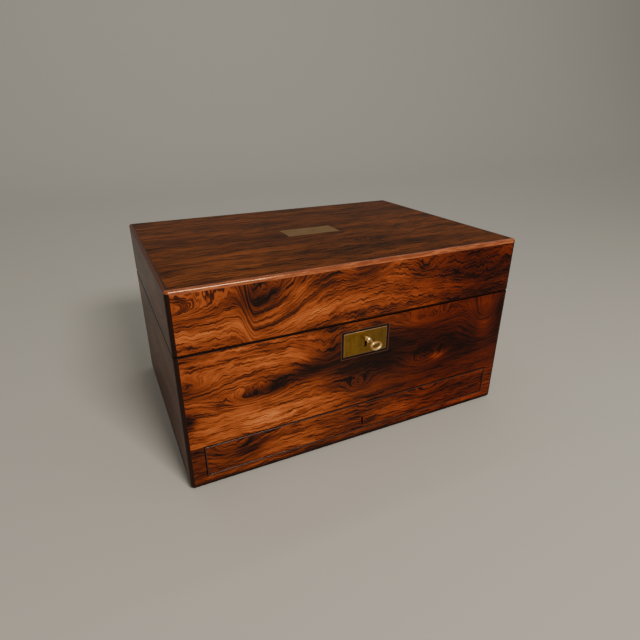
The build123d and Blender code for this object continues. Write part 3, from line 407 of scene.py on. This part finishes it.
def plateEdge(paint, colour):
    # painted highlight along the rim, and painted shade that darkens the plate to the right
    x = paint.position()[0]
    rim = 1.0 - plateDistance(paint, 0.0).above(lockPlate["rim"] * 0.6, lockPlate["rim"])
    dull = x.above(lockPlate["dullFrom"], lockPlate["dullTo"]) * 0.42
    colour = paint.mix(dull, colour, (0.13, 0.075, 0.022, 1))
    return paint.mix(rim * 0.6, colour, (0.44, 0.28, 0.16, 1))


def borderWood(name):
    # dark wood with a lighter line at its outer edge
    paint = Paint(name)
    outer = 1.0 - plateDistance(paint, lockPlate["border"]).above(*lockPlate["borderLine"])
    colour = paint.mix(outer, (0.006, 0.0020, 0.0014, 1), (0.085, 0.030, 0.018, 1))
    return paint.surface(BaseColor=colour, Roughness=0.4, SpecularIORLevel=0.1, CoatWeight=0.15,
                         CoatRoughness=0.15)


# the bead stands proud of the front by 0.15 to 0.5 mm and shines less to the right
bead = {"proud": (0.15, 0.5), "dull": (-110.0, 20.0)}


def beadWood(name):
    paint = Paint(name)
    x, y, z = paint.position()
    colour = paint.mix(paint.cloud((0.15, 0.5, 0.15), 2.0, 0.6), (0.016, 0.005, 0.003, 1),
                       (0.085, 0.034, 0.022, 1))
    # painted shade: the faces of the bead that lie back in the gap round the drawer are painted
    # near black
    proud = (-y).above(*(boxSizes["halfDepth"] + step for step in bead["proud"]))
    colour = paint.mix(proud, (0.004, 0.0016, 0.0012, 1), colour)
    return paint.surface(BaseColor=colour, Roughness=0.35, SpecularIORLevel=0.1,
                         CoatWeight=0.30 - x.above(*bead["dull"]) * 0.24, CoatRoughness=0.12,
                         CoatTint=(1.0, 0.86, 0.78, 1))


def steel(name):
    paint = Paint(name)
    rings = paint.cloud((2.0, 0.2, 0.2), 2.0)
    return paint.surface(BaseColor=(0.42, 0.41, 0.39, 1), Metallic=1.0,
                         Roughness=0.3 + rings * 0.1)


def silverPlate(name):
    paint = Paint(name)
    cloud = paint.cloud(0.08, 4.0, 0.6)
    scratch = paint.cloud((0.4, 3.0, 0.4), 2.0, 0.7)
    colour = paint.mix(cloud.above(0.5, 0.8) * 0.5, (0.80, 0.78, 0.74, 1), (0.45, 0.40, 0.32, 1))
    return paint.surface(BaseColor=colour, Metallic=1.0, Roughness=0.12 + cloud * 0.12,
                         Normal=paint.bump(scratch, 0.03, 0.0001))


claretPile = {"light": (0.125, 0.012, 0.021), "dark": (0.075, 0.007, 0.013)}


def velvet(name):
    paint = Paint(name)
    nap = paint.cloud(0.05, 3.0, 0.6)
    pile = paint.cloud(3.2, 2.0, 0.7)
    colour = paint.mix(nap.above(0.35, 0.7), shade(claretPile["dark"]),
                       shade(claretPile["light"]))
    colour = paint.mix(pile * 0.35, colour, shade(claretPile["dark"], 0.45))
    return paint.surface(BaseColor=colour, Roughness=0.9, SheenWeight=0.8, SheenRoughness=0.35,
                         SheenTint=shade(claretPile["light"], 4),
                         Normal=paint.bump(pile, 0.5, 0.0005))


def baizeCloth(name):
    paint = Paint(name)
    felt = paint.cloud(1.4, 4.0, 0.75)
    colour = paint.mix(felt, (0.012, 0.055, 0.030, 1), (0.035, 0.13, 0.075, 1))
    return paint.surface(BaseColor=colour, Roughness=0.95, SheenWeight=0.3,
                         Normal=paint.bump(felt, 0.6, 0.0005))


def clearGlass(name):
    paint = Paint(name)
    return paint.surface(BaseColor=(0.93, 0.97, 0.96, 1), IOR=1.5, TransmissionWeight=1.0,
                         Roughness=0.02 + paint.cloud(0.05, 2.0) * 0.02)


def mirrorGlass(name):
    # old silvering with a few dull spots
    paint = Paint(name)
    foxing = paint.cloud(0.03, 5.0, 0.7).above(0.62, 0.8)
    colour = paint.mix(foxing * 0.4, (0.86, 0.88, 0.87, 1), (0.4, 0.36, 0.3, 1))
    return paint.surface(BaseColor=colour, Metallic=1.0, Roughness=0.02 + foxing * 0.2)


# edge strings: where their upper side edges carry a painted reddish highlight, and which faces are
# the top edge in front, all in mm inwards from the outline of the box
edgeStrings = {"rubbedAside": (2.3, 1.3), "rubbedBelow": (2.2, 1.2), "topEdge": 3.8,
               "frontEdge": 3.4}


def ebony(name):
    paint = Paint(name)
    x, y, z = paint.position()
    streak = paint.cloud(0.5, 3.0, 0.6)
    colour = paint.mix(streak, (0.0040, 0.0014, 0.0010, 1), (0.034, 0.0090, 0.0045, 1))
    aside = (boxSizes["halfWidth"] - inwards for inwards in edgeStrings["rubbedAside"])
    below = (boxSizes["height"] - inwards for inwards in edgeStrings["rubbedBelow"])
    # painted highlight: the upper side edges of the strings are painted red
    rubbed = x.abs().above(*aside) * z.above(*below)
    colour = paint.mix(rubbed * 0.8, colour, (0.15, 0.034, 0.012, 1))
    return paint.surface(BaseColor=colour, Roughness=0.4, SpecularIORLevel=0.1, CoatWeight=0.12,
                         CoatRoughness=0.14, Normal=paint.bump(streak, 0.05, 0.0002))


def rubbedString(name):
    # the top edge in front, painted red: partly the red of the wood, partly a painted highlight of
    # the light on its rounding
    paint = Paint(name)
    streak = paint.cloud((0.06, 0.5, 0.5), 3.0, 0.6)
    colour = paint.mix(streak.above(0.35, 0.6), (0.46, 0.130, 0.042, 1), (0.22, 0.050, 0.016, 1))
    return paint.surface(BaseColor=colour, Roughness=0.19, SpecularIORLevel=1.0,
                         SpecularTint=(1.0, 0.62, 0.38, 1), Normal=paint.bump(streak, 0.04, 0.0002))


def dress(material, *names):
    for name in names:
        slots = nodes[name].data.materials
        slots.clear()
        slots.append(material)


def paintFrontEdgeHighlight(material):
    # gives the top edge in front the red material with its painted highlight
    mesh = nodes["lid_edge_strings"].data
    mesh.materials.append(material)
    lowest = (boxSizes["height"] - edgeStrings["topEdge"]) * mm
    behind = (edgeStrings["frontEdge"] - boxSizes["halfDepth"]) * mm
    for face in mesh.polygons:
        if face.center.z > lowest and face.center.y < behind:
            face.material_index = 1


def wrap(name, front, side, back):
    # the upright faces of a flat board take the veneer of the side that they look to
    mesh = nodes[name].data
    slots = {}
    for key, material in (("front", front), ("side", side), ("back", back)):
        if material:
            mesh.materials.append(material)
            slots[key] = len(mesh.materials) - 1
    for face in mesh.polygons:
        if abs(face.normal.z) > 0.6:
            continue
        key = "side" if abs(face.normal.x) > 0.7 else "front" if face.normal.y < 0 else "back"
        face.material_index = slots.get(key, 0)


print("scene: materials")
lidFrontVeneer = rosewood("lidFrontVeneer", boards["lidFront"])
sideVeneer = rosewood("sideVeneer", boards["sides"])
backVeneer = rosewood("backVeneer", boards["back"])
dress(lidFrontVeneer, "lid_front")
dress(rosewood("caseFrontVeneer", boards["caseFront"]), "case_front")
dress(rosewood("drawerFrontVeneer", boards["drawerFront"]), "drawer_front")
dress(rosewood("railVeneer", boards["rail"]), "case_bottom")
dress(rosewood("stileVeneer", boards["stile"]), "drawer_stiles")
dress(rosewood("topVeneer", boards["lidTop"]), "lid_top")
dress(sideVeneer, "case_left_side", "case_right_side", "lid_left_side", "lid_right_side")
dress(backVeneer, "case_back", "lid_back")
wrap("lid_top", lidFrontVeneer, sideVeneer, backVeneer)
wrap("case_bottom", None, sideVeneer, backVeneer)
dress(ebony("ebonyString"), "case_edge_strings", "lid_edge_strings")
paintFrontEdgeHighlight(rubbedString("rubbedString"))
dress(borderWood("plateBorder"), "lock_plate_border")
dress(beadWood("beadWood"), "drawer_bead")
dress(plainWood("mahoganyAlong", (0, 2)), "drawer_back", "tray_frame", "tray_partitions",
      "well_partitions")
dress(plainWood("mahoganyDeep", (1, 2)), "drawer_left_side", "drawer_right_side",
      "drawer_guides", "drawer_partitions")
dress(plainWood("mahoganyFlat", (0, 1)), "well_floor", "drawer_bottom", "tray_bottom",
      "mirror_frame")
dress(brass("plateBrass"), "lock_plate")
dress(brass("topBrass"), "name_plate")
dress(brass("lockBrass"), "lock_case", "lock_bolt", "link_plate", "case_hinge_leaves",
      "lid_hinge_leaves", "case_hinge_screws", "lid_hinge_screws", "lock_screws",
      "link_plate_screws", "drawer_lock", "drawer_lock_bolt", "tray_knobs")
dress(brass("keyBrass"), "key")
dress(steel("pinSteel"), "hinge_pins")
dress(silverPlate("silverPlate"), "jar_lid_1", "jar_lid_2", "jar_lid_3", "jar_lid_4",
      "glass_box_lid_left", "glass_box_lid_right")
dress(clearGlass("jarGlass"), "glass_jars", "glass_boxes")
dress(mirrorGlass("mirrorSilver"), "mirror_plate")

# soft pieces: copies of the solids with turned-in edges and a slightly uneven nap
# edge round, spacing of the cuts, unevenness and crown, all in mm
softPieces = {
    "well_lining": {"object": "wellVelvet", "body": "case",
                    "edge": 0.35, "cut": 9.0, "uneven": 0.25, "crown": 0.0},
    "lid_lining": {"object": "lidVelvet", "body": "lid",
                   "edge": 0.35, "cut": 9.0, "uneven": 0.25, "crown": 0.0},
    "drawer_lining": {"object": "drawerVelvet", "body": "drawer",
                      "edge": 0.35, "cut": 9.0, "uneven": 0.2, "crown": 0.0},
    "tray_pads": {"object": "trayCushions", "body": "tray",
                  "edge": 0.0, "cut": 5.0, "uneven": 0.25, "crown": 1.6},
    "ring_rolls": {"object": "ringRollCushions", "body": "drawer",
                   "edge": 1.1, "cut": 4.0, "uneven": 0.22, "crown": 0.0},
    "base_baize": {"object": "underBaize", "body": "case",
                   "edge": 0.3, "cut": 12.0, "uneven": 0.0, "crown": 0.0},
}


def cutUp(mesh, low, high, spacing):
    # cuts across all three axes, so that the nap has vertices to move
    for axis in range(3):
        normal = [0, 0, 0]
        normal[axis] = 1
        spread = high[axis] - low[axis]
        count = int(spread / spacing)
        for step in range(1, count):
            place = list(low)
            place[axis] += spread * step / count
            bmesh.ops.bisect_plane(mesh, geom=mesh.verts[:] + mesh.edges[:] + mesh.faces[:],
                                   dist=1e-7, plane_co=place, plane_no=normal)


def crownPads(mesh, rise):
    # the top of each pad swells towards its middle
    waiting = set(mesh.verts)
    while waiting:
        island, border = set(), [waiting.pop()]
        while border:
            vert = border.pop()
            island.add(vert)
            for edge in vert.link_edges:
                other = edge.other_vert(vert)
                if other in waiting:
                    waiting.discard(other)
                    border.append(other)
        low = [min(vert.co[axis] for vert in island) for axis in range(3)]
        high = [max(vert.co[axis] for vert in island) for axis in range(3)]
        for vert in island:
            if vert.co.z > (low[2] + high[2]) / 2:
                u, v = ((vert.co[axis] - low[axis]) / (high[axis] - low[axis])
                        for axis in (0, 1))
                vert.co.z += rise * (16 * u * (1 - u) * v * (1 - v)) ** 0.6


def softCopy(node, plan, material):
    mesh = bmesh.new()
    mesh.from_mesh(nodes[node].data)
    bmesh.ops.remove_doubles(mesh, verts=mesh.verts, dist=1e-6)
    bmesh.ops.dissolve_limit(mesh, angle_limit=math.radians(1), verts=mesh.verts,
                             edges=mesh.edges)
    bmesh.ops.recalc_face_normals(mesh, faces=mesh.faces)
    if plan["edge"]:
        sharp = [edge for edge in mesh.edges
                 if edge.is_manifold and edge.calc_face_angle_signed() > math.radians(50)]
        bmesh.ops.bevel(mesh, geom=sharp, offset=plan["edge"] * mm, offset_type="OFFSET",
                        affect="EDGES", segments=3, profile=0.5, material=-1, clamp_overlap=True)
    low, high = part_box(node)
    cutUp(mesh, low, high, plan["cut"] * mm)
    if plan["crown"]:
        crownPads(mesh, plan["crown"] * mm)
    mesh.normal_update()
    for vert in mesh.verts:
        nap = noise.noise(vert.co * 55.0) + 0.5 * noise.noise(vert.co * 160.0)
        vert.co += vert.normal * (nap - 0.8) * 0.5 * plan["uneven"] * mm
    data = bpy.data.meshes.new(plan["object"])
    mesh.to_mesh(data)
    mesh.free()
    data.shade_smooth()
    data.materials.append(material)
    piece = bpy.data.objects.new(plan["object"], data)
    bpy.context.collection.objects.link(piece)
    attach(piece, plan["body"])
    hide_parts(node)
    return piece


# linings and the baize: the part that carries each, and how many walls it has; baize has no walls
sheetCuts = {
    "well_lining": {"carrier": "well_floor", "walls": 1},
    "lid_lining": {"carrier": "lid_top", "walls": 1},
    "drawer_lining": {"carrier": "drawer_bottom", "walls": 1},
    "base_baize": {"carrier": "case_bottom", "walls": 0},
}


def declareSheet(node, cut):
    low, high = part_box(node)
    wide, deep, tall = (high[axis] - low[axis] for axis in range(3))
    tall *= cut["walls"]


print("scene: soft pieces")
claret = velvet("claretVelvet")
baizeGreen = baizeCloth("greenBaize")
for node, plan in softPieces.items():
    soft = softCopy(node, plan, baizeGreen if node == "base_baize" else claret)
    if node in ("tray_pads", "ring_rolls"):
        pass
    else:
        declareSheet(node, sheetCuts[node])

# the stage: a pale floor that bends up into a wall behind the box, in metres
stageSizes = {"floor": 60.0, "back": 1.3, "bend": 1.2, "wall": 12.0, "steps": 12}
paleFloor = {"colour": (0.52, 0.495, 0.45, 1), "roughness": 0.6, "gloss": 0.2}


def makeStage():
    mesh = bmesh.new()
    profile = [(-stageSizes["floor"], 0.0), (stageSizes["back"], 0.0)]
    for step in range(1, stageSizes["steps"] + 1):
        turn = math.radians(90 * step / stageSizes["steps"])
        profile.append((stageSizes["back"] + stageSizes["bend"] * math.sin(turn),
                        stageSizes["bend"] * (1 - math.cos(turn))))
    profile.append((stageSizes["back"] + stageSizes["bend"], stageSizes["wall"]))
    verts = [mesh.verts.new((-stageSizes["floor"], y, z)) for y, z in profile]
    edges = [mesh.edges.new(pair) for pair in zip(verts, verts[1:])]
    sweep = bmesh.ops.extrude_edge_only(mesh, edges=edges)
    moved = [item for item in sweep["geom"] if isinstance(item, bmesh.types.BMVert)]
    bmesh.ops.translate(mesh, verts=moved, vec=(2 * stageSizes["floor"], 0, 0))
    bmesh.ops.recalc_face_normals(mesh, faces=mesh.faces)
    data = bpy.data.meshes.new("studioSweep")
    mesh.to_mesh(data)
    mesh.free()
    data.shade_smooth()
    data.materials.append(Paint("paleFloor").surface(
        BaseColor=paleFloor["colour"], Roughness=paleFloor["roughness"],
        SpecularIORLevel=paleFloor["gloss"]))
    sweepObject = bpy.data.objects.new("studioSweep", data)
    bpy.context.collection.objects.link(sweepObject)


# place, aim and size in metres, energy in watts
lights = {
    "key": {"place": (0.16, -1.35, 1.10), "aim": (-0.06, 0, 0.08), "size": (0.5, 0.32),
            "energy": 23.5, "colour": (1.0, 0.93, 0.84)},
    "softTop": {"place": (-0.3, 0.1, 1.9), "aim": (-0.2, 0, 0.0), "size": (1.4, 1.2),
                "energy": 2.5, "colour": (1.0, 0.97, 0.92)},
    "wallWash": {"place": (1.6, 0.9, 2.2), "aim": (1.6, 2.4, 0.9), "size": (5.6, 0.5),
                 "energy": 24, "colour": (0.98, 1.0, 0.96)},
}
air = {"colour": (0.52, 0.50, 0.46, 1), "strength": 0.42}


def makeLights():
    for name, plan in lights.items():
        lamp = bpy.data.lights.new(name, "AREA")
        lamp.shape = "RECTANGLE"
        lamp.size, lamp.size_y = plan["size"]
        lamp.energy = plan["energy"]
        lamp.color = plan["colour"]
        holder = bpy.data.objects.new(name, lamp)
        holder.location = plan["place"]
        aim = Vector(plan["aim"]) - Vector(plan["place"])
        holder.rotation_euler = aim.to_track_quat("-Z", "Y").to_euler()
        bpy.context.collection.objects.link(holder)
    world = bpy.data.worlds.new("studioAir")
    world.use_nodes = True
    background = world.node_tree.nodes["Background"]
    background.inputs[0].default_value = air["colour"]
    background.inputs[1].default_value = air["strength"]
    bpy.context.scene.world = world


# as fitted to the photograph: place in metres, angles in degrees, focal length and centre in
# pixels of a square picture
cameraView = {"place": (-0.1845, -0.4004, 0.2725), "azimuth": 25.198, "down": 24.175, "roll": -0.25,
              "focal": 468.67, "frame": 640, "sensor": 36.0, "centre": (313.8, 318.4)}


def makeCamera():
    lens = bpy.data.cameras.new("photoCamera")
    lens.sensor_width = cameraView["sensor"]
    lens.lens = cameraView["sensor"] * cameraView["focal"] / cameraView["frame"]
    middle = cameraView["frame"] / 2
    lens.shift_x = (middle - cameraView["centre"][0]) / cameraView["frame"]
    lens.shift_y = (cameraView["centre"][1] - middle) / cameraView["frame"]
    lens.clip_start = 0.01
    holder = bpy.data.objects.new("photoCamera", lens)
    turn = (Matrix.Rotation(math.radians(-cameraView["azimuth"]), 4, "Z")
            @ Matrix.Rotation(math.radians(90 - cameraView["down"]), 4, "X")
            @ Matrix.Rotation(math.radians(cameraView["roll"]), 4, "Z"))
    holder.matrix_world = Matrix.Translation(cameraView["place"]) @ turn
    bpy.context.collection.objects.link(holder)
    bpy.context.scene.camera = holder


print("scene: stage")
makeStage()
makeLights()
makeCamera()

print("scene: done")
